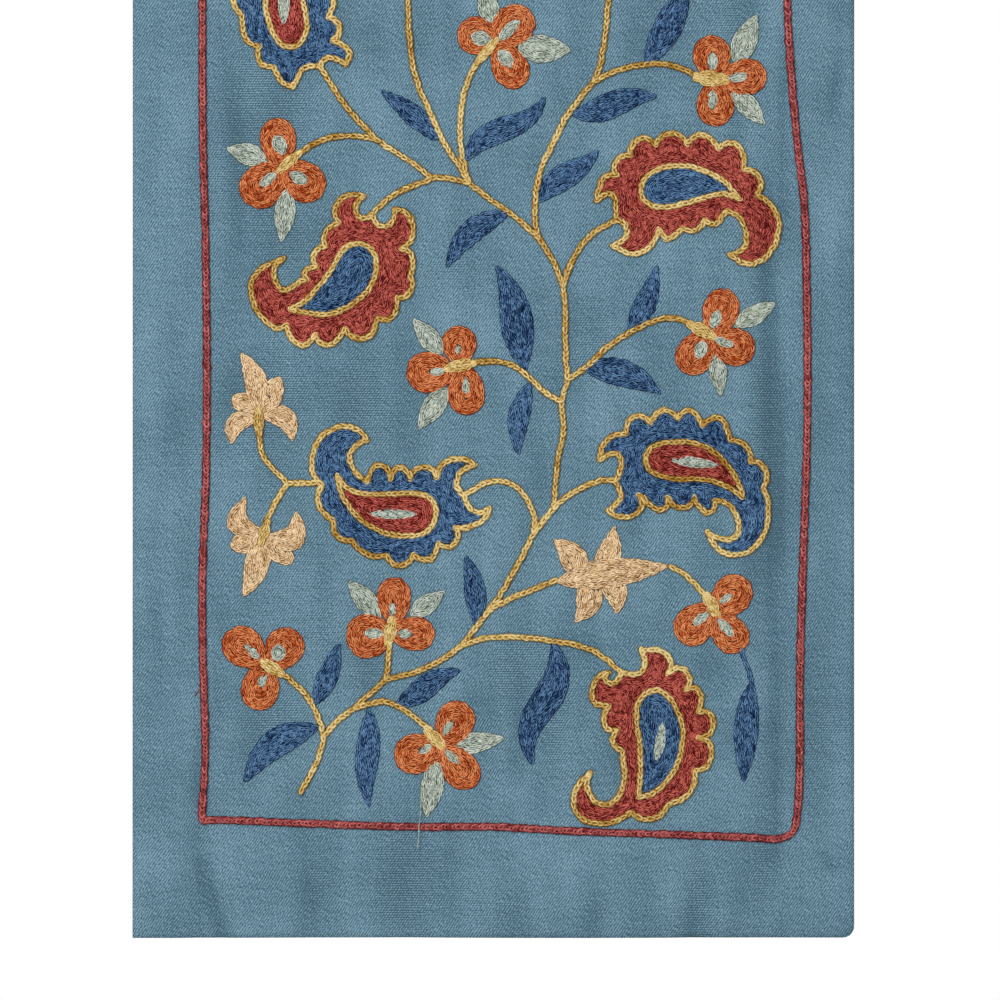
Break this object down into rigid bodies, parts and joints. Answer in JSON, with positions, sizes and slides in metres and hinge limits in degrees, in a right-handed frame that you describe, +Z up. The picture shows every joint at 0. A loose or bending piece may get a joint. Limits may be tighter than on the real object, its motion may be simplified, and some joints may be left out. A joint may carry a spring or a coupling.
{
  "type": "embroidered wall hanging",
  "caption": "Hanging panel of blue twill cloth with a chain-stitched frame, branching vine, paisleys, flowers and leaves.",
  "frame": {"origin": "middle of the top edge, halfway through the cloth", "axes": "+Z up along the hang, +X to the viewer's right, -Y out of the embroidered face"},
  "size_m": [0.361, 0.0055, 0.63],
  "materials": {
    "ground_twill": "matt twill weave"
  },
  "bodies": {
    "root": {"cloth_panel": "ground_twill"}
  },
  "joints": []
}
